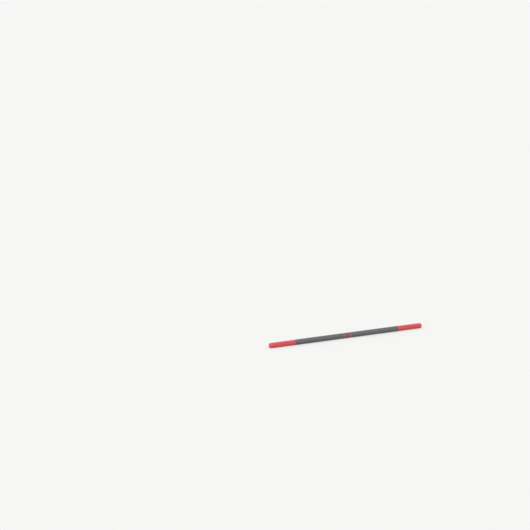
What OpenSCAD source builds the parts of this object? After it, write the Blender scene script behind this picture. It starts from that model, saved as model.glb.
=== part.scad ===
// Take-apart stage wand: two tube halves that screw together under a collar in the middle,
// and a push-fit coloured tip on each end. The wand lies along X with its middle at the origin.
// Millimetres. Stations along X are measured from the middle of the wand.

/* [Wand] */
// Overall length, end to end
wand_length = 356; // [300:2:400]
// Outside diameter of the shaft, the collar, the rings and the tips
rod_diameter = 10; // [10:0.5:13]
// Length of each coloured tip, its end cap included
tip_length = 58; // [52:1:70]
// Wall of the shaft tubes and the tip sleeves
tube_wall = 1; // [0.8:0.1:1.2]
// Chamfer on the turned outside edges; two of them make each seam's V
edge_chamfer = 0.3; // [0.3:0.05:0.4]

/* [Centre joint] */
// Width of each trim ring
ring_width = 2.5; // [2:0.5:4]
// Length of collar that shows between the two rings
collar_length = 12.5; // [12:0.5:16]
// Outside diameter of the joint screw
screw_diameter = 5; // [4:0.5:5]
// Length of screw that stands out of the right half
screw_reach = 10; // [9:0.5:12]
// Length of each plug that is bonded into a shaft tube
plug_length = 20; // [14:1:26]

/* [Tips] */
// Length of spigot that stands out of the shaft tube, inside a tip
nose_length = 21; // [18:1:22]
// Length of end cap that shows
cap_length = 7; // [6:0.5:9]
// Height of the end cap's dome
dome_height = 4.5; // [3:0.25:5]
// Squareness of the dome: 2 is an ellipse, and more is flatter with a tighter edge
dome_power = 2.2; // [2:0.1:3]
// Thickness of the felt disc that quiets the weight
pad_thickness = 2; // [1:0.5:2]
// Section of the rubber rings that grip a tip
grip_section = 1.2; // [1:0.1:1.4]

/* [Hidden] */
$fn = 96;

// Fits, all of them radial
bond_gap = 0.02;          // adhesive round a bonded plug, ring or insert
slide_gap = 0.08;         // a tip sleeve round its spigot
turn_gap = 0.05;          // the loose ring round its neck, and the screw in its insert
grip_gap = 0.02;          // a rubber ring drawn just clear of the bore that it grips

// Small features that stay the same at every size
lead_in = 0.4;            // chamfer that helps a plug or nose into its bore
vent_r = 0.75;            // lets air past as a tip goes on
cap_plug_length = 8;
nose_clearance = 2;       // between a seated spigot's nose and the felt disc
groove_inset = 5;         // from an end of the nose to the middle of the nearer groove
groove_room = 0.3;        // how much wider a groove is than its ring
screw_cover = 3;          // solid carrier behind the screw
screw_clearance = 1.25;   // insert past the end of the screw
insert_wall = 0.75;
neck_step = 0.55;         // from the tube's bore down to the neck that the loose ring turns on
recess_depth = 1.25;
seal_gap = 0.05;          // face seal to the bottom of its recess, before it is squeezed
recess_room = 0.1;        // round the outside of the face seal

rod_r = rod_diameter / 2;
bore_r = rod_r - tube_wall;
plug_r = bore_r - bond_gap;
nose_r = bore_r - slide_gap;

// Stations, measured from the middle of the wand
ring_inner = collar_length / 2;
ring_outer = ring_inner + ring_width;
tip_seam = wand_length / 2 - tip_length;
nose_end = tip_seam + nose_length;
rod_end = wand_length / 2;
cap_seam = rod_end - cap_length;
cap_plug_end = cap_seam - cap_plug_length;
weight_end = nose_end + nose_clearance + pad_thickness;

// Grip rings and their grooves
grip_radius = bore_r - grip_gap - grip_section / 2;
groove_floor = grip_radius - grip_section / 2 - bond_gap;
groove_width = grip_section + groove_room;
groove_stations = [tip_seam + groove_inset, nose_end - groove_inset];

// Centre joint: a face seal in the collar's recess keeps the screw from working loose
screw_r = screw_diameter / 2;
screw_end = ring_inner - screw_reach;
screw_root = ring_inner + plug_length - screw_cover;
o_ring_section = recess_depth - seal_gap;
o_ring_radius = screw_r + bond_gap + o_ring_section / 2;
recess_r = o_ring_radius + o_ring_section / 2 + recess_room;
insert_r = screw_r + insert_wall;
insert_mouth = ring_inner - recess_depth;
insert_end = screw_end - screw_clearance;
neck_r = bore_r - neck_step;
loose_ring_bore = neck_r + turn_gap;

// Colours
shaft_grey = "#4a4a4c";
tip_red = "#d23236";
brass = "#c6a04c";
steel = "#b9bcc0";
aluminium = "#cfd1d4";
rubber = "#1b1b1c";
felt = "#8c8a84";

// A solid turned about X from its outline of [station, radius] points
module turned(outline) {
    rotate([0, 90, 0])
        rotate_extrude()
            polygon([for (p = outline) [p.y, p.x]]);
}

// A tube with chamfered outside edges; mouth widens its bore at the first station
module tube(from, to, inner, mouth = 0) {
    turned([
        [from, inner + mouth], [from, rod_r - edge_chamfer], [from + edge_chamfer, rod_r],
        [to - edge_chamfer, rod_r], [to, rod_r - edge_chamfer], [to, inner],
        if (mouth > 0) [from + mouth, inner]
    ]);
}

// A round rubber ring about X
module rubber_ring(station, radius, section) {
    translate([station, 0, 0])
        rotate([0, 90, 0])
            rotate_extrude()
                translate([radius, 0])
                    circle(d = section, $fn = 32);
}

// Repeats a right-hand part as its mirror image on the left
module on_left() {
    mirror([1, 0, 0])
        children();
}

// ---- Shaft ----

module shaft_tube() {
    color(shaft_grey)
        tube(ring_outer, tip_seam, bore_r);
}

// Plug that carries a tip: its root is bonded in the shaft tube, and its grooved nose stands out
module tip_spigot() {
    root = tip_seam - plug_length;
    color(aluminium)
        turned([
            [root, vent_r], [root, plug_r - lead_in], [root + lead_in, plug_r],
            [tip_seam, plug_r], [tip_seam, nose_r],
            for (g = groove_stations)
                for (p = [[-1, nose_r], [-1, groove_floor], [1, groove_floor], [1, nose_r]])
                    [g + p.x * groove_width / 2, p.y],
            [nose_end - lead_in, nose_r], [nose_end, nose_r - lead_in], [nose_end, vent_r]
        ]);
}

module grip_rings() {
    color(rubber)
        for (g = groove_stations)
            rubber_ring(g, grip_radius, grip_section);
}

// ---- Centre joint ----

// Collar on the left half: a bonded root, the sleeve that shows, and the seat for the insert
module centre_collar() {
    root = -ring_outer - plug_length;
    color(shaft_grey)
        turned([
            [root, 0], [root, plug_r - lead_in], [root + lead_in, plug_r],
            [-ring_inner, plug_r], [-ring_inner, rod_r - edge_chamfer],
            [-ring_inner + edge_chamfer, rod_r], [ring_inner - edge_chamfer, rod_r],
            [ring_inner, rod_r - edge_chamfer], [ring_inner, recess_r],
            [insert_mouth, recess_r], [insert_mouth, insert_r],
            [insert_end, insert_r], [insert_end, 0]
        ]);
}

// Tapped bush that takes the screw, drawn with a plain bore
module joint_insert() {
    color(brass)
        turned([
            [insert_end, screw_r + turn_gap], [insert_end, insert_r - bond_gap],
            [insert_mouth, insert_r - bond_gap], [insert_mouth, screw_r + turn_gap]
        ]);
}

// The left ring is bonded on the collar's root; the right one turns on the carrier's neck
module trim_ring(bore) {
    color(tip_red)
        tube(ring_inner, ring_outer, bore);
}

// Joint screw, drawn plain at its outside diameter, with a pilot at its free end
module joint_screw() {
    pilot = 0.6;
    color(steel)
        turned([
            [screw_end, 0], [screw_end, screw_r - pilot], [screw_end + pilot, screw_r],
            [screw_root, screw_r], [screw_root, 0]
        ]);
}

// Plug that holds the screw in the right half; the loose ring turns on its neck
module screw_carrier() {
    root = ring_outer + plug_length;
    seat_r = screw_r + bond_gap;
    color(aluminium)
        turned([
            [ring_inner, seat_r], [ring_inner, neck_r], [ring_outer, neck_r],
            [ring_outer, plug_r], [root - lead_in, plug_r], [root, plug_r - lead_in],
            [root, 0], [screw_root, 0], [screw_root, seat_r]
        ]);
}

module joint_o_ring() {
    color(rubber)
        rubber_ring(ring_inner - recess_depth / 2, o_ring_radius, o_ring_section);
}

// ---- Tips ----

module tip_sleeve() {
    color(tip_red)
        tube(tip_seam, cap_seam, bore_r, lead_in);
}

// Domed cap: its plug is bonded in the sleeve, and the dome is a quarter of a superellipse
module end_cap() {
    dome_from = rod_end - dome_height;
    color(tip_red)
        turned([
            [cap_plug_end, 0], [cap_plug_end, plug_r - lead_in], [cap_plug_end + lead_in, plug_r],
            [cap_seam, plug_r], [cap_seam, rod_r - edge_chamfer], [cap_seam + edge_chamfer, rod_r],
            for (a = [0:7.5:90])
                [
                    dome_from + dome_height * pow(sin(a), 2 / dome_power),
                    rod_r * pow(max(cos(a), 0), 2 / dome_power)
                ]
        ]);
}

// Balance weight: it fills the sleeve from the cap's plug down to the felt disc
module tip_weight() {
    edge = 0.5;
    color(brass)
        turned([
            [weight_end, 0], [weight_end, plug_r - edge], [weight_end + edge, plug_r],
            [cap_plug_end - edge, plug_r], [cap_plug_end, plug_r - edge], [cap_plug_end, 0]
        ]);
}

// Felt disc that stops the spigot's nose from knocking on the weight
module felt_pad() {
    color(felt)
        translate([weight_end - pad_thickness, 0, 0])
            rotate([0, 90, 0])
                cylinder(r = bore_r - 2 * bond_gap, h = pad_thickness);
}

// ---- Nodes ----

on_left() shaft_tube();  // left_shaft_tube
on_left() tip_spigot();  // left_tip_spigot
on_left() grip_rings();  // left_grip_rings
centre_collar();
joint_insert();
on_left() trim_ring(bore_r);  // left_trim_ring
trim_ring(loose_ring_bore);  // right_trim_ring
joint_screw();
screw_carrier();
joint_o_ring();
shaft_tube();  // right_shaft_tube
tip_spigot();  // right_tip_spigot
grip_rings();  // right_grip_rings
on_left() tip_sleeve();  // left_tip_sleeve
on_left() end_cap();  // left_end_cap
on_left() tip_weight();  // left_tip_weight
on_left() felt_pad();  // left_felt_pad
tip_sleeve();  // right_tip_sleeve
end_cap();  // right_end_cap
tip_weight();  // right_tip_weight
felt_pad();  // right_felt_pad
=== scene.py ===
"""A take-apart stage wand: the visual model built round its CAD frame.

Every piece of the wand is a turned or moulded round part, so every piece here is an outline of stations
and radii, in millimetres, carried round the X axis. The outlines' main stations come from the boxes of
the CAD nodes, and the classes add what a lathe, a die, a mould or a spray gun leaves on the part.
"""

from __future__ import annotations

import logging
import math
from collections.abc import Callable, Sequence
from dataclasses import dataclass, replace
from enum import Enum, IntEnum

import bpy
import numpy as np
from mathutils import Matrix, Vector

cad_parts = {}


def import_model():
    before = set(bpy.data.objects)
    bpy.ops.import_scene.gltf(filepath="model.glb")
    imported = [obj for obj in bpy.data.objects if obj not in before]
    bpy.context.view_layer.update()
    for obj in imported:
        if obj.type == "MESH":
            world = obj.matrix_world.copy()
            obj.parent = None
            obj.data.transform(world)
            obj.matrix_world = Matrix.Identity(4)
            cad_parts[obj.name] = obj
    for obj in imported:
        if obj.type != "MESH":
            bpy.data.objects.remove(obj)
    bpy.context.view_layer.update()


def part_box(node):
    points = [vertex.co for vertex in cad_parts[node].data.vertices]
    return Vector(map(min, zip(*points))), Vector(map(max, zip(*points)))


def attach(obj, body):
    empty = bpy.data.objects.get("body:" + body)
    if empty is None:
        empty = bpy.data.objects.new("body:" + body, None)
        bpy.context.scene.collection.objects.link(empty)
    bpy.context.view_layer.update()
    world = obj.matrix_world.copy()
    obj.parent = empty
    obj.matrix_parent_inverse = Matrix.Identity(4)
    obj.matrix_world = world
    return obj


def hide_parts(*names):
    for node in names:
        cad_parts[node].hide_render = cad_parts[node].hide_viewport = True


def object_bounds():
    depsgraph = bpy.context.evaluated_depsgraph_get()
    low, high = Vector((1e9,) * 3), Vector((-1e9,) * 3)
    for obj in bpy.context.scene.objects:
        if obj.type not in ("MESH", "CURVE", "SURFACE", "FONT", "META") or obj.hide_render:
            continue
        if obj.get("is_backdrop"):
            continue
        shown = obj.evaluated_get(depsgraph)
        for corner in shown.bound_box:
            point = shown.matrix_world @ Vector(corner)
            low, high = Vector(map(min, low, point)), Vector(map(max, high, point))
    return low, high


log = logging.getLogger("wand")

Material = bpy.types.Material
NodeTree = bpy.types.NodeTree
Socket = bpy.types.NodeSocket
Piece = bpy.types.Object
# What goes into a shader node, by the names of its inputs
Inputs = dict[str, object]
# A value's low and high end, and what they are turned into
Ramp = tuple[float, float, float, float]

MM = 0.001
FULL_TURN = 2.0 * math.pi

# Angles in the full turn: of what shows outside, of what is inside, and of the knurled insert
OUTSIDE_SIDES = 192
INSIDE_SIDES = 128
INSERT_SIDES = 160

# Points on the arc that rounds a corner, the share of a side that it may take up, and half the angle
# of a corner that is too flat to round
ARC_STEPS = 5
ARC_SHARE = 0.45
FLAT_HALF_ANGLE = math.radians(89.5)
# Where a straight stretch has its points beside a corner, and how far an edge's wear reaches
EDGE_SUPPORTS_MM = (0.05, 0.15, 0.35, 0.8, 2.0)
EDGE_REACH_MM = 0.22
# Mesh attribute of edge wear, and on threads of the height that the steel's painted root shade follows
EDGE_WEAR_AND_THREAD_HEIGHT_ATTRIBUTE = "worn"

# Sizes that several pieces share: two chamfers make each seam's V
SEAM_CHAMFER_MM = 0.3
SEAM_ROUND_MM = 0.12
LEAD_IN_MM = 0.4
BONDED_PLUG_MM = 3.98
TUBE_BORE_MM = 4.0
LOOSE_RING_BORE_MM = 3.5
SEAL_SECTION_MM = 1.2

# Nearly all of a noise's values lie between these two
NOISE_SPAN = (0.3, 0.7)


class Side(IntEnum):
    """The half of the wand that a piece belongs to, as the sign of its stations along X."""

    LEFT = -1
    RIGHT = 1

    @property
    def word(self) -> str:
        """The side's name, as nodes and pieces spell it."""
        return self.name.lower()


class Body(str, Enum):
    """The CAD bodies that pieces ride on."""

    LEFT_HALF = "left_half"
    LEFT_TIP = "left_tip"
    JOINT_RING = "joint_ring"
    RIGHT_HALF = "right_half"
    RIGHT_TIP = "right_tip"


class Slot(str, Enum):
    """The record's material slots."""

    SHAFT_COAT = "shaft_coat"
    TIP_LACQUER = "tip_lacquer"
    RING_RED = "ring_red"
    TURNED_ALUMINIUM = "turned_aluminium"
    TURNED_BRASS = "turned_brass"
    SCREW_STEEL = "screw_steel"
    SEAL_RUBBER = "seal_rubber"
    WOOL_FELT = "wool_felt"


class Edge(float, Enum):
    """How far a turned edge is rounded, in millimetres.

    The first two are the corners of the small step between a plug's bonded root and its nose. The
    rest run from an edge that is only broken, by way of the screw's pilot, to a bold one.
    """

    STEP_FOOT = 0.02
    STEP_TOP = 0.03
    BROKEN = 0.05
    PILOT = 0.06
    EASED = 0.08
    SOFT = 0.1
    ROUND = 0.15


# ---- Outlines: stations along the wand and radii about it ----


@dataclass(frozen=True)
class Corner:
    """A corner of an outline, in millimetres.

    Args:
        x: Station along the wand.
        r: Radius about its axis.
        fillet: Radius of the arc that rounds the corner.
        coat: Which of the piece's materials covers the surface from here to the next corner.
        step: Spacing of the points to the next corner, where a relief needs them close together.
    """

    x: float
    r: float
    fillet: float = 0.0
    coat: int = 0
    step: float = 0.0

    @property
    def place(self) -> np.ndarray:
        """The corner as a point of two numbers."""
        return np.array([self.x, self.r])


@dataclass
class Outline:
    """Points of [station, radius] that run clockwise round half a section of a turned part.

    Clockwise is out at the low end, along the outside, in at the high end and back along the bore,
    which makes the faces of the turned surface point outwards.

    Args:
        points: The points, one row each, in millimetres.
        coats: For each point, the material index of the faces between it and the next point.
        worn: For each point, how far its edge is exposed to handling, from 0 to 1.
        closed: Whether the last point joins the first, as it does on a part with a bore.
    """

    points: np.ndarray
    coats: np.ndarray
    worn: np.ndarray
    closed: bool

    def mirrored(self, side: Side) -> Outline:
        """Give the outline for one side of the wand.

        Args:
            side: The side.

        Returns:
            The outline itself on the right, and its mirror image on the left.
        """
        if side is Side.RIGHT:
            return self
        flipped = self.points[::-1] * (-1.0, 1.0)
        return Outline(flipped, np.roll(self.coats[::-1], -1), self.worn[::-1], self.closed)

    def followed_by(self, curve: np.ndarray) -> Outline:
        """Add a curve at the end of the outline.

        Args:
            curve: The curve's points, which take the first material and no wear.

        Returns:
            The longer outline.
        """
        added = len(curve)
        return Outline(
            np.vstack([self.points, curve]),
            np.append(self.coats, np.zeros(added, int)),
            np.append(self.worn, np.zeros(added)),
            self.closed,
        )


def bevel(x: float, r: float, depth: float, fillet: float, way: int, coat: int = 0) -> list[Corner]:
    """Chamfer an outside edge.

    Args:
        x: Station of the end face, in millimetres.
        r: Radius of the outside.
        depth: Depth of the chamfer.
        fillet: Radius that rounds both its corners.
        way: 1 at the low end of a part, and -1 at its high end.
        coat: The material index of the faces after each corner.

    Returns:
        The chamfer's two corners, clockwise.
    """
    pair = [Corner(x, r - depth, fillet, coat), Corner(x + way * depth, r, fillet, coat)]
    return pair[::way]


def rounded(before: np.ndarray, corner: Corner, after: np.ndarray) -> np.ndarray:
    """Round one corner.

    The arc touches both sides at the same distance from the corner: the fillet's radius over the
    tangent of half the corner's angle. Its points are the two radii to the touching points, blended
    by the sines of the angles still to go and already gone.

    Args:
        before: The corner before this one.
        corner: The corner to round.
        after: The corner after it.

    Returns:
        The arc's points, or the corner itself where it is sharp or nearly straight.
    """
    sides = np.array([before, after]) - corner.place
    lengths = np.linalg.norm(sides, axis=1)
    back, ahead = sides / lengths[:, None]
    half = math.acos(float(np.clip(back @ ahead, -1.0, 1.0))) / 2.0
    if corner.fillet <= 0.0 or half > FLAT_HALF_ANGLE:
        return corner.place[None, :]
    reach = min(corner.fillet / math.tan(half), ARC_SHARE * lengths.min())
    centre = corner.place + (back + ahead) * reach / (1.0 + back @ ahead)
    first = corner.place + back * reach - centre
    last = corner.place + ahead * reach - centre
    sweep = math.pi - 2.0 * half
    gone = np.linspace(0.0, 1.0, ARC_STEPS)[:, None]
    return centre + (np.sin((1.0 - gone) * sweep) * first + np.sin(gone * sweep) * last) / math.sin(sweep)


def straight(start: np.ndarray, end: np.ndarray, step: float) -> np.ndarray:
    """Place the points inside a straight stretch.

    With a step they are evenly spaced. Without one they crowd towards both ends, so that a rounded
    edge's shading stays at the edge and its wear can fade out beside it.

    Args:
        start: First end of the stretch.
        end: Last end of the stretch.
        step: Even spacing in millimetres, or 0.

    Returns:
        The points, without the stretch's two ends.
    """
    length = float(np.linalg.norm(end - start))
    if step > 0.0:
        share = np.linspace(0.0, 1.0, max(2, math.ceil(length / step) + 1))[1:-1]
    else:
        near = np.array([d for d in EDGE_SUPPORTS_MM if d < ARC_SHARE * length]) / max(length, 1e-9)
        share = np.append(near, 1.0 - near[::-1])
    return start + share[:, None] * (end - start)


def trace(corners: Sequence[Corner]) -> Outline:
    """Draw the outline through a list of corners, each rounded by its fillet.

    A point's wear is a bell curve of its distance to the nearest rounded corner that points outwards.

    Args:
        corners: The corners, clockwise. The last joins the first, unless the first is on the axis.

    Returns:
        The outline.
    """
    closed = corners[0].r > 0.0
    places = np.array([c.place for c in corners])
    before, after = np.roll(places, 1, axis=0), np.roll(places, -1, axis=0)
    last = len(corners) - 1
    arcs = [
        rounded(before[i], c, after[i]) if closed or 0 < i < last else c.place[None, :]
        for i, c in enumerate(corners)
    ]
    runs, coats = [], []
    for i, corner in enumerate(corners):
        run = arcs[i]
        if closed or i < last:
            run = np.vstack([run, straight(run[-1], arcs[(i + 1) % len(arcs)][0], corner.step)])
        runs.append(run)
        coats.append(np.full(len(run), corner.coat))
    points = np.vstack(runs)
    (came_x, came_r), (goes_x, goes_r) = (places - before).T, (after - places).T
    filleted = np.array([c.fillet > 0.0 for c in corners])
    outward = places[filleted & (came_x * goes_r < came_r * goes_x)]
    away = np.linalg.norm(points[:, None] - outward, axis=2).min(axis=1)
    return Outline(points, np.concatenate(coats), np.exp(-((away / EDGE_REACH_MM) ** 2)), closed)


def sleeve_outline(start: float, end: float, rod: float, bore: float, mouth: float = 0.0) -> Outline:
    """Draw a tube: an outside with chamfered, rounded edges, and a bore.

    Args:
        start: First station, in millimetres.
        end: Last station.
        rod: Outside radius.
        bore: Radius of the bore, which has the piece's second material.
        mouth: Chamfer that widens the bore at the first station.

    Returns:
        The outline.
    """
    corners = [
        Corner(start, bore + mouth, Edge.BROKEN),
        *bevel(start, rod, SEAM_CHAMFER_MM, SEAM_ROUND_MM, 1),
        *bevel(end, rod, SEAM_CHAMFER_MM, SEAM_ROUND_MM, -1),
        Corner(end, bore, Edge.BROKEN, coat=1),
    ]
    if mouth > 0.0:
        corners.append(Corner(start + mouth, bore, Edge.SOFT, coat=1))
    return trace(corners)


def ring_outline(
    station: float, centre: float, flash: float = 0.02, line: float = 0.12, sides: int = 48
) -> Outline:
    """Draw a moulded rubber ring: a circle with a low parting line inside and outside.

    The section's radius is its nominal one less the flash, plus the flash times a narrow bell curve
    about the two angles where the mould's halves met.

    Args:
        station: The ring's station along the wand, in millimetres.
        centre: Radius from the wand's axis to the middle of the section.
        flash: Height of the parting line.
        line: Width of the parting line, as a share of the section's radius.
        sides: Points round the section.

    Returns:
        The outline.
    """
    angle = np.linspace(FULL_TURN, 0.0, sides, endpoint=False)
    radius = SEAL_SECTION_MM / 2.0 - flash + flash * np.exp(-((np.cos(angle) / line) ** 2))
    points = np.stack([station - radius * np.cos(angle), centre + radius * np.sin(angle)], axis=1)
    return Outline(points, np.zeros(len(points), int), np.zeros(len(points)), True)


def span(node: str) -> tuple[float, float]:
    """Return a CAD node's lowest and highest station along the wand, in millimetres."""
    low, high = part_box(node)
    return low.x / MM, high.x / MM


def outer_radius(node: str) -> float:
    """Return a CAD node's radius about the wand's axis, in millimetres."""
    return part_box(node)[1].z / MM


# ---- Reliefs: what a die, a tap, a knurling wheel or loose fibres add to a turned surface ----


@dataclass
class Lathe:
    """A turned surface as grids of outline points by angles, in millimetres.

    Args:
        x: Stations.
        r: Radii.
        angle: Angles about X, from Y towards Z.
        worn: Wear, from 0 to 1; on a thread, its height from root to crest.
    """

    x: np.ndarray
    r: np.ndarray
    angle: np.ndarray
    worn: np.ndarray


Relief = Callable[[Lathe], Lathe]


@dataclass(frozen=True)
class Thread:
    """A right-hand metric thread along a stretch of a turned surface.

    Args:
        start: First station of the thread, in millimetres.
        end: Last station, towards which it runs out over one pitch.
        major: Radius of its crests on a screw, or of its roots in a tapped bore.
        tapped: Whether it is cut in a bore.
        pitch: Advance in one turn, which is 0.8 mm for an M5 screw.
        height_over_pitch: Height of a metric thread as a share of its pitch.
        crest_flat: Flat of the crest as a share of the pitch.
        root_flat: Flat of the root as a share of the pitch.
    """

    start: float
    end: float
    major: float
    tapped: bool = False
    pitch: float = 0.8
    height_over_pitch: float = 0.6134
    crest_flat: float = 1.0 / 8.0
    root_flat: float = 1.0 / 4.0

    def __call__(self, lathe: Lathe) -> Lathe:
        """Cut the thread into the blank.

        A helix is where the station over the pitch less the angle over a full turn is constant. The
        distance from the crest's helix is a triangle wave, cut flat at the crest and the root, which
        gives the depth from 0 to 1. A screw keeps the smaller of the blank's and the thread's radius,
        and a bore the larger.

        Args:
            lathe: The turned blank.

        Returns:
            The threaded part. Its worn values are its height, from 0 in the roots to 1 on the crests, which
            the steel's finish uses to paint shade in the roots.
        """
        phase = lathe.x / self.pitch - lathe.angle / FULL_TURN
        wave = 1.0 - np.abs(2.0 * (phase % 1.0) - 1.0)
        depth = np.clip((wave - self.crest_flat) / (1.0 - self.crest_flat - self.root_flat), 0.0, 1.0)
        within = (lathe.x > self.start) & (lathe.x < self.end)
        reach = self.height_over_pitch * self.pitch * np.clip((self.end - lathe.x) / self.pitch, 0.0, 1.0)
        keep = np.maximum if self.tapped else np.minimum
        return replace(
            lathe,
            r=np.where(within, keep(lathe.r, self.major - reach * depth), lathe.r),
            # Height from root to crest: the mask of the screw's painted root shade
            worn=np.where(within, 1.0 - depth, 1.0),
        )


@dataclass(frozen=True)
class Knurl:
    """A diamond knurl rolled into the outside of a bush, to key it in its adhesive.

    Args:
        start: First station, in millimetres.
        end: Last station.
        radius: Radius of the blank.
        teeth: Ridges in each direction round the blank.
        depth: Depth of the valleys, in millimetres.
        skin: How far below the blank's radius the surface is still the outside.
    """

    start: float
    end: float
    radius: float
    teeth: int = 20
    depth: float = 0.18
    skin: float = 0.05

    def __call__(self, lathe: Lathe) -> Lathe:
        """Lower the radius by the depth times one less the lower of two crossing triangle waves.

        Args:
            lathe: The turned blank.

        Returns:
            The knurled part.
        """
        across = self.teeth * lathe.angle / FULL_TURN
        along = self.teeth * (lathe.x - self.start) / (FULL_TURN * self.radius)
        ridge = np.minimum(*(np.abs(2.0 * (wave % 1.0) - 1.0) for wave in (across + along, across - along)))
        outside = lathe.r > self.radius - self.skin
        within = (lathe.x > self.start) & (lathe.x < self.end) & outside
        return replace(lathe, r=np.where(within, lathe.r - self.depth * (1.0 - ridge), lathe.r))


@dataclass(frozen=True)
class Fuzz:
    """The uneven, fibrous surface of pressed felt.

    Args:
        middle: Station of the middle of the disc, in millimetres.
        height: Largest depth of a hollow in a face.
        squeeze: Largest depth of a hollow in the rim, as a share of the radius.
        tuft: Size of a hollow.
        cells: Cells along each side of the noise's lattice, after which it repeats.
        seed: Seed of the hollows' places.
    """

    middle: float
    height: float = 0.16
    squeeze: float = 0.02
    tuft: float = 0.5
    cells: int = 32
    seed: int = 7

    def __call__(self, lathe: Lathe) -> Lathe:
        """Draw each point in towards the disc's middle by its share of a smooth noise.

        The noise is made of seeded random values on a lattice, blended across each cell by the
        product of the eased distances from the cell's far corners.

        Args:
            lathe: The turned disc.

        Returns:
            The fibrous disc.
        """
        places = np.stack([lathe.x, lathe.r * np.cos(lathe.angle), lathe.r * np.sin(lathe.angle)], axis=-1)
        lattice = np.random.default_rng(self.seed).random((self.cells,) * 3)
        low = np.floor(places / self.tuft).astype(int)
        share = places / self.tuft - low
        share = share * share * (3.0 - 2.0 * share)
        noise = np.zeros_like(lathe.x)
        for corner in np.ndindex(2, 2, 2):
            weight = np.where(np.array(corner) == 1, share, 1.0 - share).prod(axis=-1)
            noise += weight * lattice[tuple(np.moveaxis((low + corner) % self.cells, -1, 0))]
        inwards = np.sign(lathe.x - self.middle) * self.height * noise
        return replace(lathe, x=lathe.x - inwards, r=lathe.r * (1.0 - self.squeeze * noise))


# ---- Meshes ----


def surface_object(
    name: str,
    grid: np.ndarray,
    share: np.ndarray,
    closed: bool,
    materials: Sequence[Material],
    coats: np.ndarray | None = None,
    worn: np.ndarray | None = None,
) -> Piece:
    """Make a smooth mesh object from rows of points that each close on themselves.

    Each face joins two neighbouring rows and two neighbouring columns. A row whose points all
    coincide is a pole: it becomes one point, with a fan of triangles round it.

    Args:
        name: The object's name.
        grid: Points in metres, rows by columns by three.
        share: Each row's distance along the outline as a share of its length, which is the second
            number of the UV map, and 1 at the end. The first number is the share of the full turn.
        closed: Whether the last row joins the first.
        materials: The object's materials.
        coats: For each row, the material index of the faces between it and the next.
        worn: Wear at each point of the grid; on a thread, its height from root to crest.

    Returns:
        The object, in the scene.
    """
    rows, columns = grid.shape[:2]
    pole = np.ptp(grid, axis=1).max(axis=1) < 1e-9
    keep = ~pole[:, None] | (np.arange(columns) == 0)
    index = (np.cumsum(keep) - 1).reshape(rows, columns)
    index[pole] = index[pole, :1]
    low = np.arange(rows if closed else rows - 1)
    high = (low + 1) % rows
    across = np.roll(index, -1, axis=1)
    corners = np.stack([index[low], across[low], across[high], index[high]], axis=-1)
    u = (np.arange(columns)[:, None] + (0, 1, 1, 0)) / columns
    v = share[low[:, None] + (0, 0, 1, 1)][:, None]
    uv = np.stack(np.broadcast_arrays(u, v), axis=-1)
    coats = np.zeros(rows, int) if coats is None else coats

    faces, face_uv, face_coats = [], [], []
    for bands, picks in (
        (~pole[low] & ~pole[high], [0, 1, 2, 3]),
        (pole[low], [0, 2, 3]),
        (pole[high], [0, 1, 2]),
    ):
        faces += corners[bands][..., picks].reshape(-1, len(picks)).tolist()
        face_uv.append(uv[bands][..., picks, :].ravel())
        face_coats.append(np.repeat(coats[low][bands], columns))

    mesh = bpy.data.meshes.new(name)
    mesh.from_pydata(grid[keep], [], faces)
    mesh.shade_smooth()
    mesh.polygons.foreach_set("material_index", np.concatenate(face_coats).astype(np.int32))
    mesh.uv_layers.new(name="round_and_along").uv.foreach_set("vector", np.concatenate(face_uv))
    if worn is not None:
        attribute = mesh.attributes.new(EDGE_WEAR_AND_THREAD_HEIGHT_ATTRIBUTE, "FLOAT", "POINT")
        attribute.data.foreach_set("value", worn[keep])
    for material in materials:
        mesh.materials.append(material)
    mesh.update()
    made = bpy.data.objects.new(name, mesh)
    bpy.context.scene.collection.objects.link(made)
    return made


def turned_object(
    name: str, outline: Outline, materials: Sequence[Material], sides: int, reliefs: Sequence[Relief] = ()
) -> Piece:
    """Make an object by carrying an outline round the X axis.

    A point is (x, r cos a, r sin a), for the outline's station x and radius r and the angle a.

    Args:
        name: The object's name.
        outline: The outline, in millimetres.
        materials: The materials that the outline's coats number.
        sides: How many angles there are in the full turn.
        reliefs: What is cut or pressed into the turned surface.

    Returns:
        The object.
    """
    angles = np.arange(sides) * FULL_TURN / sides
    columns = (outline.points[:, :1], outline.points[:, 1:], angles, outline.worn[:, None])
    lathe = Lathe(*(np.array(grid) for grid in np.broadcast_arrays(*columns)))
    for relief in reliefs:
        lathe = relief(lathe)
    grid = np.stack([lathe.x, lathe.r * np.cos(lathe.angle), lathe.r * np.sin(lathe.angle)], axis=-1)
    ring = np.vstack([outline.points, outline.points[:1]]) if outline.closed else outline.points
    gone = np.append(0.0, np.cumsum(np.linalg.norm(np.diff(ring, axis=0), axis=1)))
    return surface_object(
        name, grid * MM, gone / gone[-1], outline.closed, materials, outline.coats, lathe.worn
    )


# ---- Finishes ----


def linear_colour(code: str) -> tuple[float, float, float, float]:
    """Turn an sRGB hex colour into the linear colour that a shader takes.

    Args:
        code: The colour, such as #d0d0d0.

    Returns:
        Red, green, blue and an alpha of 1.
    """
    encoded = np.array([int(code[i : i + 2], 16) for i in (1, 3, 5)]) / 255.0
    linear = np.where(encoded <= 0.04045, encoded / 12.92, ((encoded + 0.055) / 1.055) ** 2.4)
    return (*linear.tolist(), 1.0)


def per_metre(size_mm: float) -> float:
    """Return the texture scale at which one feature of a pattern is this many millimetres wide."""
    return 1.0 / (size_mm * MM)


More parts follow.
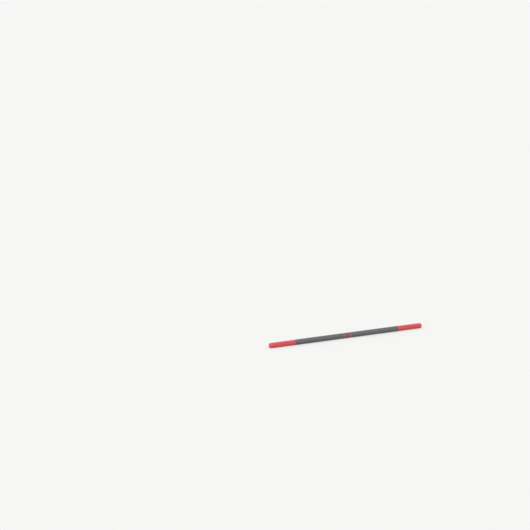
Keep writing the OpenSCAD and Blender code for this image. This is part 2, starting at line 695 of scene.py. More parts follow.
def add_node(
    tree: NodeTree, kind: str, inputs: Inputs | Sequence[object] = (), **settings: object
) -> bpy.types.Node:
    """Add one shader node.

    Args:
        tree: The node tree.
        kind: The node's type, without its leading ShaderNode.
        inputs: What goes into the node's inputs: by name, or in order for those in use. A socket is
            linked, a node stands for its first output in use, and anything else is set.
        settings: The node's own properties.

    Returns:
        The new node.
    """
    node = tree.nodes.new(f"ShaderNode{kind}")
    for name, value in settings.items():
        setattr(node, name, value)
    if not isinstance(inputs, dict):
        inputs = dict(zip([socket.identifier for socket in node.inputs if socket.enabled], inputs))
    sockets = {name: s for s in reversed(node.inputs) if s.enabled for name in (s.name, s.identifier)}
    for name, value in inputs.items():
        if isinstance(value, bpy.types.Node):
            value = next(output for output in value.outputs if output.enabled)
        if isinstance(value, bpy.types.NodeSocket):
            tree.links.new(value, sockets[name])
        else:
            sockets[name].default_value = value
    return node


@dataclass(frozen=True)
class Pattern:
    """A noise that a finish is mottled or raised by, at its real size.

    Args:
        size_mm: Width of one of its features.
        detail: How many finer noises it holds.
        height_mm: Height of the relief that it gives.
        curl: How far its features wind.
    """

    size_mm: float
    detail: float = 2.0
    height_mm: float = 0.0
    curl: float = 0.0

    @property
    def noise(self) -> Inputs:
        """What the noise node takes besides the coordinates."""
        return {"Scale": per_metre(self.size_mm), "Detail": self.detail, "Distortion": self.curl}

    def relief(self, noise: bpy.types.Node) -> Inputs:
        """Return what the bump node takes to raise the surface by the pattern's noise."""
        return {"Height": noise, "Distance": self.height_mm * MM}


@dataclass(frozen=True)
class Finish:
    """What a surface is and how it was made; each kind says what that gives the eye."""

    name: str

    def build(self) -> Material:
        """Make the finish's material.

        Returns:
            The material.
        """
        material = bpy.data.materials.new(self.name)
        material.use_nodes = True
        tree = material.node_tree
        tree.nodes.clear()
        place = add_node(tree, "TexCoord").outputs["Object"]
        shader = add_node(tree, "BsdfPrincipled", self.shade(tree, place))
        add_node(tree, "OutputMaterial", {"Surface": shader})
        return material

    def shade(self, tree: NodeTree, place: Socket) -> Inputs:
        """Add the nodes of the finish's patterns.

        Args:
            tree: The material's node tree.
            place: The Object coordinates.

        Returns:
            What the shader takes.
        """
        raise NotImplementedError


@dataclass(frozen=True)
class PowderCoat(Finish):
    """Polyester powder sprayed on drawn aluminium tube and baked.

    It gives the eye a satin dark grey with a soft, slightly pebbled sheen, a little uneven where it
    has been handled, with faint scuffs along the wand, and rubbed to bare metal in places on its
    edges. Real pebbling is about 0.03 mm high, and it is drawn higher so that it can be seen.
    """

    name: str = "satin_grey_powder_coat_sprayed"
    colour: str = "#525254"
    bare: str = "#a9abad"
    ior: float = 1.5
    pebble: Pattern = Pattern(1.6, detail=1.0, height_mm=0.22)
    grain: Pattern = Pattern(0.5, detail=2.0, height_mm=0.05)
    smudge: Pattern = Pattern(16.0, detail=4.0)
    rub: Pattern = Pattern(1.1, detail=3.0)
    scuff_mm: tuple[float, float, float] = (22.0, 0.5, 0.5)
    scuffed: Ramp = (0.66, 0.78, 0.0, 0.12)
    rubbed: Ramp = (0.50, 0.62, 0.0, 0.8)
    smudge_tone: Ramp = (*NOISE_SPAN, 0.93, 1.07)
    pebble_tone: Ramp = (*NOISE_SPAN, 0.94, 1.06)
    sheen: Ramp = (*NOISE_SPAN, 0.39, 0.53)

    def shade(self, tree: NodeTree, place: Socket) -> Inputs:
        """Add the coat's nodes.

        Args:
            tree: The material's node tree.
            place: The Object coordinates.

        Returns:
            What the shader takes.
        """
        pebble, grain, smudge, rub = (
            add_node(tree, "TexNoise", {"Vector": place, **pattern.noise})
            for pattern in (self.pebble, self.grain, self.smudge, self.rub)
        )
        scale = tuple(map(per_metre, self.scuff_mm))
        drawn_out = add_node(tree, "Mapping", {"Vector": place, "Scale": scale})
        strand = add_node(tree, "TexNoise", {"Vector": drawn_out, "Scale": 1.0, "Detail": 1.0})
        scuff = add_node(tree, "MapRange", (strand, *self.scuffed))
        worn = add_node(tree, "Attribute", attribute_name=EDGE_WEAR_AND_THREAD_HEIGHT_ATTRIBUTE).outputs["Fac"]
        exposed = add_node(tree, "Math", (worn, rub), operation="MULTIPLY")
        bare = add_node(tree, "MapRange", (exposed, *self.rubbed), interpolation_type="SMOOTHSTEP")
        tones = (
            add_node(tree, "MapRange", (noise, *tone))
            for noise, tone in ((smudge, self.smudge_tone), (pebble, self.pebble_tone))
        )
        tone = add_node(tree, "Math", tuple(tones), operation="MULTIPLY")
        tinted = add_node(tree, "VectorMath", (linear_colour(self.colour)[:3], tone), operation="SCALE")
        pale = add_node(tree, "Math", (bare, scuff), operation="MAXIMUM")
        colour = add_node(tree, "Mix", (pale, tinted, linear_colour(self.bare)), data_type="RGBA")
        sheen = add_node(tree, "MapRange", (smudge, *self.sheen))
        pebbled = add_node(tree, "Bump", self.pebble.relief(pebble))
        normal = add_node(tree, "Bump", {"Normal": pebbled, **self.grain.relief(grain)})
        return {
            "Base Color": colour,
            "Metallic": bare,
            "Roughness": sheen,
            "IOR": self.ior,
            "Normal": normal,
        }


@dataclass(frozen=True)
class GlossLacquer(Finish):
    """Red acrylic lacquer sprayed on aluminium and polished.

    It gives the eye an even red under a clear, glossy skin, with the faint ripple of a sprayed film,
    fine scratches along the wand from its case, and thin, paler edges. The skin carries the gloss, so
    the colour under it reflects little.
    """

    name: str = "gloss_red_lacquer_sprayed"
    colour: str = "#be3336"
    thin: str = "#d0524f"
    ior: float = 1.49
    under_skin: float = 0.15
    skin_ior: float = 1.5
    skin_roughness: float = 0.14
    ripple: Pattern = Pattern(2.2, detail=1.0, height_mm=0.012)
    mottle: Pattern = Pattern(9.0, detail=3.0)
    scratch_mm: tuple[float, float, float] = (14.0, 0.22, 0.22)
    scratched: Ramp = (0.62, 0.75, 0.26, 0.40)
    tone: Ramp = (*NOISE_SPAN, 0.95, 1.05)

    def shade(self, tree: NodeTree, place: Socket) -> Inputs:
        """Add the lacquer's nodes.

        Args:
            tree: The material's node tree.
            place: The Object coordinates.

        Returns:
            What the shader takes.
        """
        ripple, mottle = (
            add_node(tree, "TexNoise", {"Vector": place, **pattern.noise})
            for pattern in (self.ripple, self.mottle)
        )
        scale = tuple(map(per_metre, self.scratch_mm))
        drawn_out = add_node(tree, "Mapping", {"Vector": place, "Scale": scale})
        strand = add_node(tree, "TexNoise", {"Vector": drawn_out, "Scale": 1.0, "Detail": 1.0})
        roughness = add_node(tree, "MapRange", (strand, *self.scratched))
        worn = add_node(tree, "Attribute", attribute_name=EDGE_WEAR_AND_THREAD_HEIGHT_ATTRIBUTE).outputs["Fac"]
        thin = add_node(tree, "Math", (worn, mottle), operation="MULTIPLY")
        tone = add_node(tree, "MapRange", (mottle, *self.tone))
        tinted = add_node(tree, "VectorMath", (linear_colour(self.colour)[:3], tone), operation="SCALE")
        colour = add_node(tree, "Mix", (thin, tinted, linear_colour(self.thin)), data_type="RGBA")
        normal = add_node(tree, "Bump", self.ripple.relief(ripple))
        return {
            "Base Color": colour,
            "Roughness": roughness,
            "IOR": self.ior,
            "Specular IOR Level": self.under_skin,
            "Coat Weight": 1.0,
            "Coat Roughness": self.skin_roughness,
            "Coat IOR": self.skin_ior,
            "Normal": normal,
            "Coat Normal": normal,
        }


@dataclass(frozen=True)
class TurnedMetal(Finish):
    """Bare or dyed metal as it comes from the lathe.

    It gives the eye bright metal with fine rings about the wand's axis, which catch the light in
    bands, and a slightly clouded polish. The real feed is about 0.1 mm a turn, and the rings are
    drawn coarser so that they can be seen.
    """

    colour: str
    stain: str
    roughness: float = 0.24
    banding: tuple[float, float] = (-0.06, 0.10)
    rings: Pattern = Pattern(0.45, detail=3.0, height_mm=0.003)
    cloud: Pattern = Pattern(6.0, detail=4.0)
    stained: Ramp = (0.42, 0.75, 0.0, 0.55)

    def shade(self, tree: NodeTree, place: Socket) -> Inputs:
        """Add the metal's nodes.

        The rings are noise on the distance that the lathe's tool has travelled, which is the station
        plus the radius, so they run round cylinders and end faces alike.

        Args:
            tree: The material's node tree.
            place: The Object coordinates.

        Returns:
            What the shader takes.
        """
        across = add_node(tree, "VectorMath", (place, (0.0, 1.0, 1.0)), operation="MULTIPLY")
        radius = add_node(tree, "VectorMath", (across,), operation="LENGTH")
        station = add_node(tree, "SeparateXYZ", (place,))
        line = add_node(tree, "Math", (station, radius), operation="ADD")
        rings = add_node(tree, "TexNoise", {"W": line, **self.rings.noise}, noise_dimensions="1D")
        cloud = add_node(tree, "TexNoise", {"Vector": place, **self.cloud.noise})
        stained = add_node(tree, "MapRange", (cloud, *self.stained), interpolation_type="SMOOTHSTEP")
        pair = linear_colour(self.colour), linear_colour(self.stain)
        colour = add_node(tree, "Mix", (stained, *pair), data_type="RGBA")
        low, high = (self.roughness + change for change in self.banding)
        banded = add_node(tree, "MapRange", (rings, *NOISE_SPAN, low, high))
        normal = add_node(tree, "Bump", self.rings.relief(rings))
        return {"Base Color": colour, "Metallic": 1.0, "Roughness": banded, "Normal": normal}


@dataclass(frozen=True)
class RolledSteel(Finish):
    """A rolled steel thread: bright on its crests, with painted shade that makes its roots darker and
    duller.
    """

    name: str = "bright_steel_thread_rolled"
    crest: str = "#c3c4c6"
    root: str = "#4b4946"
    grain: Pattern = Pattern(0.6, detail=4.0, height_mm=0.002)
    oiled: Ramp = (0.0, 0.55, 1.0, 0.0)
    dulled: Ramp = (0.0, 1.0, 0.22, 0.42)

    def shade(self, tree: NodeTree, place: Socket) -> Inputs:
        """Add the steel's nodes.

        Args:
            tree: The material's node tree.
            place: The Object coordinates.

        Returns:
            What the shader takes.
        """
        # The worn attribute here is the thread's height: 0 in the roots and 1 on the crests
        height = add_node(tree, "Attribute", attribute_name=EDGE_WEAR_AND_THREAD_HEIGHT_ATTRIBUTE).outputs["Fac"]
        grain = add_node(tree, "TexNoise", {"Vector": place, **self.grain.noise})
        root_shade = add_node(tree, "MapRange", (height, *self.oiled), interpolation_type="SMOOTHSTEP")
        grainy_root_shade = add_node(tree, "Math", (root_shade, grain), operation="MULTIPLY")
        # Painted shade: the roots take the dark root colour, broken up by the grain noise
        pair = linear_colour(self.crest), linear_colour(self.root)
        colour = add_node(tree, "Mix", (grainy_root_shade, *pair), data_type="RGBA")
        roughness = add_node(tree, "MapRange", (root_shade, *self.dulled))
        normal = add_node(tree, "Bump", self.grain.relief(grain))
        return {"Base Color": colour, "Metallic": 1.0, "Roughness": roughness, "Normal": normal}


@dataclass(frozen=True)
class MouldedRubber(Finish):
    """Moulded nitrile rubber: near black and dull, with wetter patches of silicone grease."""

    name: str = "black_nitrile_rubber_moulded"
    colour: str = "#1c1c1d"
    ior: float = 1.52
    grease: Pattern = Pattern(2.5)
    grain: Pattern = Pattern(0.25, height_mm=0.004)
    greased: Ramp = (0.42, 0.6, 0.5, 0.24)
    tone: Ramp = (*NOISE_SPAN, 0.8, 1.2)

    def shade(self, tree: NodeTree, place: Socket) -> Inputs:
        """Add the rubber's nodes.

        Args:
            tree: The material's node tree.
            place: The Object coordinates.

        Returns:
            What the shader takes.
        """
        grease, grain = (
            add_node(tree, "TexNoise", {"Vector": place, **pattern.noise})
            for pattern in (self.grease, self.grain)
        )
        roughness = add_node(tree, "MapRange", (grease, *self.greased))
        tone = add_node(tree, "MapRange", (grain, *self.tone))
        colour = add_node(tree, "VectorMath", (linear_colour(self.colour)[:3], tone), operation="SCALE")
        normal = add_node(tree, "Bump", self.grain.relief(grain))
        return {"Base Color": colour, "Roughness": roughness, "IOR": self.ior, "Normal": normal}


@dataclass(frozen=True)
class PressedFelt(Finish):
    """Pressed grey wool: matt and mottled, with pale fibres that lie in every direction.

    A wool fibre is about 0.03 mm thick, and the fibres are drawn coarser so that they can be seen.
    """

    name: str = "grey_wool_felt_pressed"
    colour: str = "#8b8983"
    fleck: str = "#c9c6bd"
    ior: float = 1.54
    roughness: float = 0.95
    nap: float = 0.45
    nap_roughness: float = 0.5
    fibre: Pattern = Pattern(0.18, detail=4.0, height_mm=0.05, curl=2.5)
    mottle: Pattern = Pattern(0.9, detail=4.0)
    flecked: Ramp = (0.15, 0.4, 0.0, 0.8)

    def shade(self, tree: NodeTree, place: Socket) -> Inputs:
        """Add the felt's nodes.

        Args:
            tree: The material's node tree.
            place: The Object coordinates.

        Returns:
            What the shader takes.
        """
        fibre, mottle = (
            add_node(tree, "TexNoise", {"Vector": place, **pattern.noise})
            for pattern in (self.fibre, self.mottle)
        )
        mixed = add_node(tree, "Math", (fibre, mottle), operation="MULTIPLY")
        flecked = add_node(tree, "MapRange", (mixed, *self.flecked))
        pair = linear_colour(self.colour), linear_colour(self.fleck)
        return {
            "Base Color": add_node(tree, "Mix", (flecked, *pair), data_type="RGBA"),
            "Roughness": self.roughness,
            "IOR": self.ior,
            "Sheen Weight": self.nap,
            "Sheen Roughness": self.nap_roughness,
            "Normal": add_node(tree, "Bump", self.fibre.relief(fibre)),
        }


@dataclass(frozen=True)
class BackdropPaper(Finish):
    """Seamless studio paper: pale and matt, with a very faint tooth."""

    name: str = "pale_backdrop_paper_matt"
    colour: str = "#dadad9"
    specular: float = 0.1
    tooth: Pattern = Pattern(3.0)
    roughness: Ramp = (*NOISE_SPAN, 0.85, 1.0)

    def shade(self, tree: NodeTree, place: Socket) -> Inputs:
        """Add the paper's nodes.

        Args:
            tree: The material's node tree.
            place: The Object coordinates.

        Returns:
            What the shader takes.
        """
        tooth = add_node(tree, "TexNoise", {"Vector": place, **self.tooth.noise})
        roughness = add_node(tree, "MapRange", (tooth, *self.roughness))
        colour = linear_colour(self.colour)
        return {"Base Color": colour, "Roughness": roughness, "Specular IOR Level": self.specular}


def build_finishes() -> dict[Slot, list[Material]]:
    """Build every finish of the wand once, for its pieces to share.

    The anodised rings are more finely turned than the bare parts, so the lines on them are lower.

    Returns:
        For each slot, its finish, and after it the one that a bore or a bonded plug is left with.
    """
    fine = replace(TurnedMetal.rings, height_mm=0.002)
    red = TurnedMetal(
        "red_anodised_aluminium_turned", "#d0565a", "#bd4348", roughness=0.36, rings=fine
    ).build()
    bare = TurnedMetal("bare_aluminium_turned", "#dfe0e1", "#c4c5c5").build()
    return {
        Slot.SHAFT_COAT: [PowderCoat().build(), bare],
        Slot.TIP_LACQUER: [GlossLacquer().build(), bare],
        Slot.RING_RED: [red, red],
        Slot.TURNED_ALUMINIUM: [bare],
        Slot.TURNED_BRASS: [TurnedMetal("free_cutting_brass_turned", "#dcb967", "#b58f45").build()],
        Slot.SCREW_STEEL: [RolledSteel().build()],
        Slot.SEAL_RUBBER: [MouldedRubber().build()],
        Slot.WOOL_FELT: [PressedFelt().build()],
    }


# ---- The wand's sub-assemblies ----


@dataclass
class SubAssembly:
    """Pieces that ride on one body of the wand.

    These sizes, whose names end in _mm, are radii: bore, nose, vent, groove_floor, recess, insert_seat,
    thread_root, tapping, countersink, neck, seat, crest, centre_hole, grip_centre and seal_centre.

    Args:
        finishes: The wand's finishes, by their slots.
        body: The body that the pieces ride on.
        side: The half that they belong to. Outlines are drawn for the right half.
    """

    finishes: dict[Slot, list[Material]]
    body: Body
    side: Side = Side.RIGHT

    def put(
        self,
        name: str,
        node: str,
        slot: Slot,
        outlines: Sequence[Outline],
        sides: int = INSIDE_SIDES,
        reliefs: Sequence[Relief] = (),
    ) -> Piece:
        """Turn a piece and put it on its body, in place of its CAD node.

        Args:
            name: The piece's name, in which {side} stands for left or right.
            node: The CAD node that it stands for, named in the same way.
            slot: The record's material slot, whose finishes the outlines' coats number.
            outlines: One outline for each closed shell of the piece.
            sides: How many angles there are in the full turn.
            reliefs: What is cut or pressed into its surface.

        Returns:
            The piece.
        """
        name, node = (words.format(side=self.side.word) for words in (name, node))
        shells = [
            turned_object(name, outline.mirrored(self.side), self.finishes[slot], sides, reliefs)
            for outline in outlines
        ]
        piece = shells[0]
        if len(shells) > 1:
            with bpy.context.temp_override(active_object=piece, selected_editable_objects=shells):
                bpy.ops.object.join()
        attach(piece, self.body.value)
        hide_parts(node)
        return piece

    def build(self) -> list[Piece]:
        """Make the sub-assembly.

        Returns:
            Its pieces.
        """
        raise NotImplementedError


@dataclass
class ShaftTube(SubAssembly):
    """One half's dark tube."""

    def build(self) -> list[Piece]:
        """Make the tube.

        Returns:
            The tube.
        """
        outline = sleeve_outline(*span("right_shaft_tube"), outer_radius("right_shaft_tube"), TUBE_BORE_MM)
        names = "{side}_tube", "{side}_shaft_tube"
        return [self.put(*names, Slot.SHAFT_COAT, [outline], OUTSIDE_SIDES)]


@dataclass
class TrimRing(SubAssembly):
    """One of the two thin red rings."""

    bore_mm: float = TUBE_BORE_MM

    def build(self) -> list[Piece]:
        """Make the ring, which is the same red in its bore.

        Returns:
            The ring.
        """
        outline = sleeve_outline(*span("right_trim_ring"), outer_radius("right_trim_ring"), self.bore_mm)
        names = "{side}_ring", "{side}_trim_ring"
        return [self.put(*names, Slot.RING_RED, [outline], OUTSIDE_SIDES)]


@dataclass
class TipSpigot(SubAssembly):
    """The grooved plug that a tip pushes on to, and the two rubber rings that grip the tip."""

    nose_mm: float = 3.92
    vent_mm: float = 0.75
    groove_floor_mm: float = 2.76
    groove_width_mm: float = 1.5
    grip_centre_mm: float = 3.38

    def build(self) -> list[Piece]:
        """Make the spigot and its rings.

        Returns:
            The spigot, and its two rings as one piece.
        """
        root, nose = span("right_tip_spigot")
        seam = span("right_shaft_tube")[1]
        low, high = span("right_grip_rings")
        stations = low + SEAL_SECTION_MM / 2.0, high - SEAL_SECTION_MM / 2.0
        half = self.groove_width_mm / 2.0
        grooves = [
            Corner(station + sign * half, radius, fillet)
            for station in stations
            for sign, radius, fillet in (
                (-1, self.nose_mm, Edge.EASED),
                (-1, self.groove_floor_mm, Edge.ROUND),
                (1, self.groove_floor_mm, Edge.ROUND),
                (1, self.nose_mm, Edge.EASED),
            )
        ]
        outline = trace([
            Corner(root, self.vent_mm, Edge.ROUND),
            *bevel(root, BONDED_PLUG_MM, LEAD_IN_MM, Edge.SOFT, 1),
            Corner(seam, BONDED_PLUG_MM, Edge.STEP_TOP),
            Corner(seam, self.nose_mm, Edge.STEP_FOOT),
            *grooves,
            *bevel(nose, self.nose_mm, LEAD_IN_MM, Edge.ROUND, -1),
            Corner(nose, self.vent_mm, Edge.ROUND),
        ])
        rings = [ring_outline(station, self.grip_centre_mm) for station in stations]
        return [
            self.put("{side}_spigot", "{side}_tip_spigot", Slot.TURNED_ALUMINIUM, [outline]),
            self.put("{side}_grips", "{side}_grip_rings", Slot.SEAL_RUBBER, rings),
        ]


@dataclass
class CentreCollar(SubAssembly):
    """The collar on the left half's end, with its bonded root and its tapped insert."""

    recess_mm: float = 3.82
    insert_seat_mm: float = 3.25
    insert_edge_mm: float = 0.25
    thread_root_mm: float = 2.55
    tapping_mm: float = 2.06
    countersink_mm: float = 2.85
    knurl_step_mm: float = 0.12
    thread_step_mm: float = 0.045
    tap_overrun_mm: float = 1.0

    def build(self) -> list[Piece]:
        """Make the collar and the insert.

        Returns:
            The collar and the insert.
        """
        root, end = span("centre_collar")
        seat, mouth = span("joint_insert")
        rod = outer_radius("centre_collar")
        outline = trace([
            Corner(root, 0.0, coat=1),
            *bevel(root, BONDED_PLUG_MM, LEAD_IN_MM, Edge.SOFT, 1, coat=1),
            Corner(-end, BONDED_PLUG_MM, Edge.BROKEN),
            *bevel(-end, rod, SEAM_CHAMFER_MM, SEAM_ROUND_MM, 1),
            *bevel(end, rod, SEAM_CHAMFER_MM, SEAM_ROUND_MM, -1),
            Corner(end, self.recess_mm, Edge.EASED, coat=1),
            Corner(mouth, self.recess_mm, Edge.SOFT, coat=1),
            Corner(mouth, self.insert_seat_mm, Edge.BROKEN, coat=1),
            Corner(seat, self.insert_seat_mm, Edge.SOFT, coat=1),
            Corner(seat, 0.0, coat=1),
        ])
        collar = self.put("collar", "centre_collar", Slot.SHAFT_COAT, [outline], OUTSIDE_SIDES)
        return [collar, self.build_insert(seat, mouth)]

    def build_insert(self, start: float, end: float) -> Piece:
        """Make the tapped brass insert, knurled outside and countersunk at both ends.

        Args:
            start: The insert's blind end, in millimetres.
            end: Its mouth.

        Returns:
            The insert.
        """
        outer, edge = outer_radius("joint_insert"), self.insert_edge_mm
        sink, fine = self.countersink_mm - self.tapping_mm, self.thread_step_mm
        outline = trace([
            Corner(start, self.countersink_mm, Edge.BROKEN),
            Corner(start, outer - edge, Edge.EASED),
            Corner(start + edge, outer, step=self.knurl_step_mm),
            Corner(end - edge, outer),
            Corner(end, outer - edge, Edge.EASED),
            Corner(end, self.countersink_mm, Edge.BROKEN, step=fine),
            Corner(end - sink, self.tapping_mm, step=fine),
            Corner(start + sink, self.tapping_mm, step=fine),
        ])
        overrun = self.tap_overrun_mm
        reliefs = [
            Knurl(start + 2.0 * edge, end - 2.0 * edge, outer),
            Thread(start - overrun, end + overrun, self.thread_root_mm, tapped=True),
        ]
        return self.put("insert", "joint_insert", Slot.TURNED_BRASS, [outline], INSERT_SIDES, reliefs)


@dataclass
class ScrewJoint(SubAssembly):
    """The right half's share of the centre joint: the screw, its carrier and the face seal."""

    neck_mm: float = 3.45
    seat_mm: float = 2.52
    pilot_mm: float = 0.6
    crest_mm: float = 2.48
    pilot_step_mm: float = 0.05
    thread_step_mm: float = 0.04
    run_out_mm: float = 1.2
    centre_hole_mm: float = 0.5
    centre_hole_depth_mm: float = 0.35
    seal_centre_mm: float = 3.12

    def build(self) -> list[Piece]:
        """Make the carrier, the screw and the seal.

        Returns:
            The carrier, the screw and the seal.
        """
        start, end = span("screw_carrier")
        shoulder = span("right_trim_ring")[1]
        free_end, screw_root = span("joint_screw")
        carrier = trace([
            Corner(screw_root, 0.0),
            Corner(screw_root, self.seat_mm, Edge.SOFT),
            Corner(start, self.seat_mm, Edge.BROKEN),
            Corner(start, self.neck_mm, Edge.EASED),
            Corner(shoulder, self.neck_mm, Edge.BROKEN),
            Corner(shoulder, BONDED_PLUG_MM, Edge.SOFT),
            *bevel(end, BONDED_PLUG_MM, LEAD_IN_MM, Edge.SOFT, -1),
            Corner(end, 0.0),
        ])
        run_out, tip = start + self.run_out_mm, self.crest_mm - self.pilot_mm
        screw = trace([
            Corner(free_end + self.centre_hole_depth_mm, 0.0),
            Corner(free_end, self.centre_hole_mm, Edge.BROKEN),
            Corner(free_end, tip, Edge.PILOT, step=self.pilot_step_mm),
            Corner(free_end + self.pilot_mm, self.crest_mm, step=self.thread_step_mm),
            Corner(run_out, self.crest_mm),
            Corner(screw_root, self.crest_mm, Edge.SOFT),
            Corner(screw_root, 0.0),
        ])
        thread = Thread(free_end, run_out, self.crest_mm)
        seal = ring_outline(sum(span("joint_o_ring")) / 2.0, self.seal_centre_mm)
        return [
            self.put("carrier", "screw_carrier", Slot.TURNED_ALUMINIUM, [carrier]),
            self.put("screw", "joint_screw", Slot.SCREW_STEEL, [screw], reliefs=[thread]),
            self.put("face_seal", "joint_o_ring", Slot.SEAL_RUBBER, [seal]),
        ]


@dataclass
class Tip(SubAssembly):
    """A red tip: the sleeve, its domed cap, and the balance weight and felt disc inside."""

    dome_height_mm: float = 4.5
    dome_power: float = 2.2
    dome_steps: int = 40
    skirt_end_mm: float = 0.15
    weight_edge_mm: float = 0.5
    centre_hole_mm: float = 0.7
    felt_round_mm: float = 0.35
    felt_face_step_mm: float = 0.16
    felt_rim_step_mm: float = 0.2
    felt_fill: float = 0.9

    def build(self) -> list[Piece]:
        """Make the tip.

        Returns:
            The sleeve, the cap, the weight and the felt disc.
        """
        rod = outer_radius("right_tip_sleeve")
        sleeve = sleeve_outline(*span("right_tip_sleeve"), rod, TUBE_BORE_MM, LEAD_IN_MM)
        pieces = [
            self.put("{side}_" + name, "{side}_" + node, slot, [outline], sides)
            for name, node, slot, outline, sides in (
                ("sleeve", "tip_sleeve", Slot.TIP_LACQUER, sleeve, OUTSIDE_SIDES),
                ("cap", "end_cap", Slot.TIP_LACQUER, self.cap_outline(), OUTSIDE_SIDES),
                ("weight", "tip_weight", Slot.TURNED_BRASS, self.weight_outline(), INSIDE_SIDES),
            )
        ]
        return [*pieces, self.build_felt()]

    def cap_outline(self) -> Outline:
        """Draw the end cap: a bonded plug, a short skirt and a dome.

        The dome is a quarter of a superellipse: the station rises as a power of the sine, and the
        radius falls as the same power of the cosine, which is 2 over the superellipse's own.

        Returns:
            The outline.
        """
        start, end = span("right_end_cap")
        seam = span("right_tip_sleeve")[1]
        rod = outer_radius("right_end_cap")
        shoulder = end - self.dome_height_mm
        turn = np.linspace(0.0, math.pi / 2.0, self.dome_steps)
        sine, cosine = np.sin(turn), np.append(np.cos(turn[:-1]), 0.0)
        power = 2.0 / self.dome_power
        dome = np.stack([shoulder + self.dome_height_mm * sine**power, rod * cosine**power], axis=1)
        return trace([
            Corner(start, 0.0, coat=1),
            *bevel(start, BONDED_PLUG_MM, LEAD_IN_MM, Edge.SOFT, 1, coat=1),
            Corner(seam, BONDED_PLUG_MM, Edge.BROKEN),
            *bevel(seam, rod, SEAM_CHAMFER_MM, SEAM_ROUND_MM, 1),
            Corner(shoulder - self.skirt_end_mm, rod),
        ]).followed_by(dome)

    def weight_outline(self) -> Outline:
        """Draw the balance weight, with a lathe centre's hole in each face.

        Returns:
            The outline.
        """
        start, end = span("right_tip_weight")
        radius, edge, hole = outer_radius("right_tip_weight"), self.weight_edge_mm, self.centre_hole_mm
        return trace([
            Corner(start + hole, 0.0),
            Corner(start, hole, Edge.EASED),
            *bevel(start, radius, edge, Edge.ROUND, 1),
            *bevel(end, radius, edge, Edge.ROUND, -1),
            Corner(end, hole, Edge.EASED),
            Corner(end - hole, 0.0),
        ])

    def build_felt(self) -> Piece:
        """Returns:
            The disc.
        """
        start, end = span("right_felt_pad")
        radius = outer_radius("right_felt_pad")
        face, rim = self.felt_face_step_mm, self.felt_rim_step_mm
        outline = trace([
            Corner(start, 0.0, step=face),
            Corner(start, radius, self.felt_round_mm, step=rim),
            Corner(end, radius, self.felt_round_mm, step=face),
            Corner(end, 0.0),
        ])
        fuzz = Fuzz(self.side * (start + end) / 2.0)
        felt = self.put("{side}_felt", "{side}_felt_pad", Slot.WOOL_FELT, [outline], reliefs=[fuzz])
        return felt


# ---- The studio ----


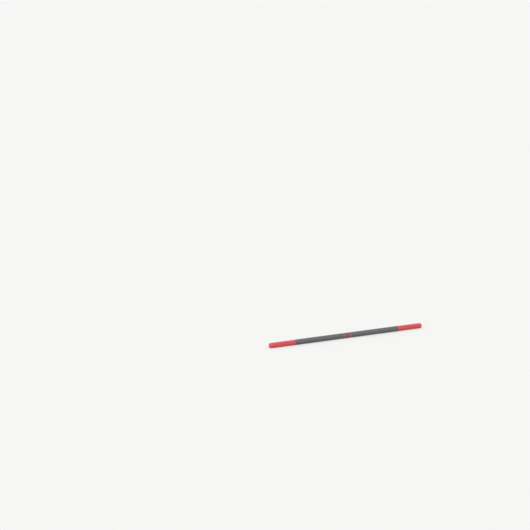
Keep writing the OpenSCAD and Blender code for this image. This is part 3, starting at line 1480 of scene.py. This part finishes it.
@dataclass
class Studio:
    """A wide pale floor under an even white surround, soft light and the camera.

    The overhead lamp's share of the light on the floor makes the floor as bright as the surround, so
    the two meet without a line.
    """

    surround_colour: str = "#ffffff"
    surround_strength: float = 0.923
    floor_radius_m: float = 60.0
    floor_first_m: float = 0.05
    floor_rings: int = 24
    floor_sides: int = 96
    lamp_strength: float = 1.94
    lamp_softness_deg: float = 70.0
    lamp_tilt_deg: float = 50.0
    lamp_azimuth_deg: float = -50.0
    lamp_place_m: tuple[float, float, float] = (0.0, 0.0, 2.0)
    strip_radiance: float = 2.0
    strip_length_m: float = 4.4
    strip_width_m: float = 0.4
    strip_place_m: tuple[float, float, float] = (0.0, -1.0, 1.7)
    azimuth_deg: float = -33.28
    elevation_deg: float = 12.47
    distance_m: float = 5.0
    lens_mm: float = 173.16
    sensor_mm: float = 36.0
    sight_m: float = 200.0
    aim_across_m: float = -0.1607
    aim_up_m: float = 0.1367

    def build(self) -> None:
        """Make the floor, the lights and the camera."""
        self.build_floor()
        self.build_lights()
        self.build_camera()
        bpy.context.scene.view_settings.view_transform = "Standard"

    def build_floor(self) -> None:
        """Make the floor that the wand lies on, a flat disc: a point is (d cos a, d sin a, level)."""
        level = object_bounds()[0].z
        rings = np.geomspace(self.floor_first_m, self.floor_radius_m, self.floor_rings)
        away = np.append(0.0, rings)[:, None]
        angle = -np.arange(self.floor_sides) * FULL_TURN / self.floor_sides
        grid = np.stack(
            np.broadcast_arrays(away * np.cos(angle), away * np.sin(angle), np.float64(level)), axis=-1
        )
        share = away[:, 0] / self.floor_radius_m
        surface_object("studio_floor", grid, share, False, [BackdropPaper().build()])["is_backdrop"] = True

    def build_lights(self) -> None:
        """Make the white surround, the soft overhead lamp and a strip for highlights.

        The strip hangs along the wand and shows only in gloss. Its power is its radiance times its
        area times pi, as for any flat lamp of even brightness.
        """
        world = bpy.data.worlds.new("studio_surround")
        world.use_nodes = True
        surround = world.node_tree.nodes["Background"]
        surround.inputs["Color"].default_value = linear_colour(self.surround_colour)
        surround.inputs["Strength"].default_value = self.surround_strength
        bpy.context.scene.world = world
        lamp = bpy.data.lights.new("overhead_lamp", "SUN")
        lamp.energy = self.lamp_strength
        lamp.angle = math.radians(self.lamp_softness_deg)
        strip = bpy.data.lights.new("strip_lamp", "AREA")
        strip.shape = "RECTANGLE"
        strip.size, strip.size_y = self.strip_length_m, self.strip_width_m
        strip.energy = self.strip_radiance * self.strip_length_m * self.strip_width_m * math.pi
        tilt, azimuth = math.radians(self.lamp_tilt_deg), math.radians(self.lamp_azimuth_deg)
        lean = math.atan2(self.strip_place_m[1], self.strip_place_m[2])
        for light, place, turn in (
            (lamp, self.lamp_place_m, (tilt, 0.0, azimuth)),
            (strip, self.strip_place_m, (lean, 0.0, 0.0)),
        ):
            hung = bpy.data.objects.new(light.name, light)
            hung.location, hung.rotation_euler = place, turn
            hung.visible_camera = False
            hung.visible_diffuse = light is lamp
            bpy.context.scene.collection.objects.link(hung)

    def build_camera(self) -> None:
        """Stand the camera at its angle and distance from the wand, aimed to the left and above."""
        turn, rise = math.radians(self.azimuth_deg), math.radians(self.elevation_deg)
        back = Vector((math.sin(turn) * math.cos(rise), -math.cos(turn) * math.cos(rise), math.sin(rise)))
        right = Vector((math.cos(turn), math.sin(turn), 0.0))
        place = back * self.distance_m
        aim = right * self.aim_across_m + back.cross(right) * self.aim_up_m
        lens = bpy.data.cameras.new("studio_camera")
        lens.lens = self.lens_mm
        lens.sensor_width = self.sensor_mm
        lens.clip_end = self.sight_m
        camera = bpy.data.objects.new("studio_camera", lens)
        camera.location = place
        camera.rotation_euler = (place - aim).to_track_quat("Z", "Y").to_euler()
        bpy.context.scene.collection.objects.link(camera)
        bpy.context.scene.camera = camera


def main() -> None:
    """Build the studio, then the wand's sub-assemblies in order, and report each piece."""
    logging.basicConfig(level=logging.INFO, format="%(name)s: %(message)s")
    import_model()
    Studio().build()
    finishes = build_finishes()
    assemblies: list[SubAssembly] = []
    for side, half, tip in (
        (Side.LEFT, Body.LEFT_HALF, Body.LEFT_TIP),
        (Side.RIGHT, Body.RIGHT_HALF, Body.RIGHT_TIP),
    ):
        assemblies += [
            ShaftTube(finishes, half, side),
            TipSpigot(finishes, half, side),
            Tip(finishes, tip, side),
        ]
    assemblies += [
        CentreCollar(finishes, Body.LEFT_HALF),
        TrimRing(finishes, Body.LEFT_HALF, Side.LEFT),
        TrimRing(finishes, Body.JOINT_RING, bore_mm=LOOSE_RING_BORE_MM),
        ScrewJoint(finishes, Body.RIGHT_HALF),
    ]
    for assembly in assemblies:
        for piece in assembly.build():
            faces = len(piece.data.polygons)
            log.info("%s rides on %s, with %d faces", piece.name, assembly.body.value, faces)


if __name__ == "__main__":
    main()
